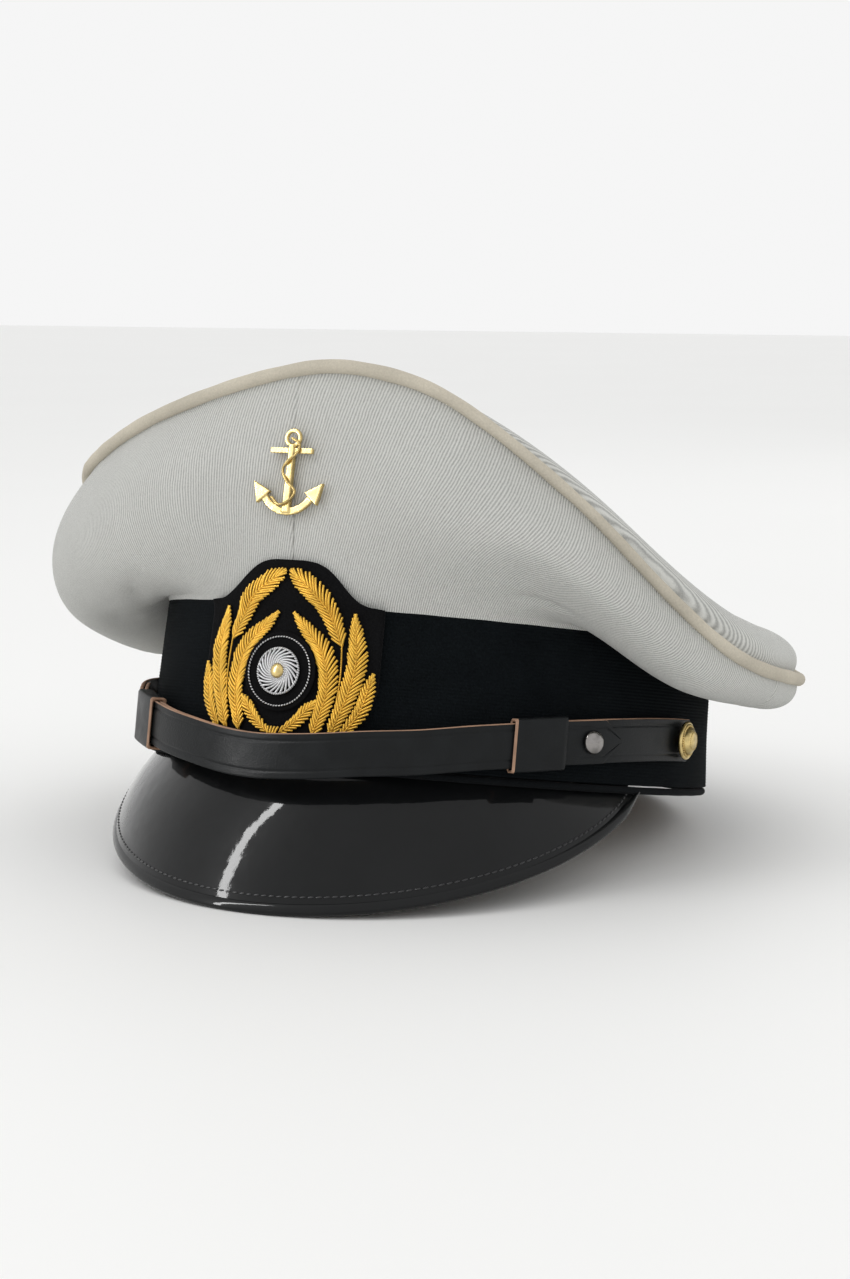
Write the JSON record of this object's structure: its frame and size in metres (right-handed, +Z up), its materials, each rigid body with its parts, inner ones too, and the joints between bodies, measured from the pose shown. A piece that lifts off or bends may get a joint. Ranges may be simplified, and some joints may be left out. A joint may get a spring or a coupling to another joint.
{
  "type": "military peaked cap",
  "caption": "White peaked cap with a sprung crown, ribbed black band, glossy visor, two-part chin strap on side buttons, wreath patch and small anchor badge.",
  "frame": {"origin": "middle of the bounding box's underside, on the surface the cap rests on", "axes": "-Y is the cap's front, +X the wearer's left, +Z up; the cap rests on its visor's lip and the back of its band, so its head opening is pitched up 10.9 degrees at the front"},
  "size_m": [0.2528, 0.2586, 0.1594],
  "materials": {
    "white_twill": "fine white cotton twill, matt",
    "piping_cord": "cream corded piping",
    "ribbed_cloth": "black horizontally ribbed cloth",
    "felt": "black felt",
    "lining_satin": "old-gold satin",
    "ribbon": "black grosgrain",
    "fibre_board": "brown vulcanised fibre",
    "clear_sheet": "thin clear sheet",
    "sweat_leather": "tan leather, satin",
    "patent": "black patent, high gloss",
    "visor_underside": "black grained cloth",
    "strap_leather": "black smooth leather with raw tan edges",
    "dark_nickel": "dark nickel, polished",
    "steel_wire": "plain steel",
    "gilt_metal": "gilt, die-struck, satin",
    "gold_bullion": "gold wire thread, laid in strands",
    "silver_wire": "silver wire thread"
  },
  "bodies": {
    "cap": {"crown_panel_front_left": "white_twill", "crown_panel_front_right": "white_twill", "crown_panel_rear_left": "white_twill", "crown_panel_rear_right": "white_twill", "crown_top_panel": "white_twill", "crown_piping": "piping_cord", "crown_hoop": "steel_wire", "front_stiffener": "fibre_board", "crown_lining": "lining_satin", "sweat_shield": "clear_sheet", "cap_band": "ribbed_cloth", "band_stiffener": "fibre_board", "sweatband": "sweat_leather", "sweatband_bow": "ribbon", "band_welt": "ribbed_cloth", "visor_shell": "patent", "visor_lining": "visor_underside", "visor_binding": "patent", "side_button_left": "gilt_metal", "side_button_right": "gilt_metal", "button_washer_left": "steel_wire", "button_washer_right": "steel_wire", "badge_anchor": "gilt_metal", "badge_back_plate": "steel_wire", "wreath_patch": "felt", "wreath_outer_left": "gold_bullion", "wreath_outer_right": "gold_bullion", "wreath_inner_left": "gold_bullion", "wreath_inner_right": "gold_bullion", "wreath_knot": "gold_bullion", "rosette_ground": "felt", "rosette_outer_ring": "silver_wire", "rosette_disc": "silver_wire", "rosette_centre": "gilt_metal"},
    "chin_strap": {"chin_strap_inner": "strap_leather", "chin_strap_outer": "strap_leather", "strap_keeper_left": "strap_leather", "strap_keeper_right": "strap_leather", "strap_rivet_left": "dark_nickel", "strap_rivet_right": "dark_nickel"}
  },
  "joints": [
    {"name": "chin_strap_swing", "type": "hinge", "parent": "cap", "child": "chin_strap", "pos_m": [0.00541, -0.01004, 0.0392], "axis": [-1, 0, 0], "range_deg": [0, 10]}
  ]
}
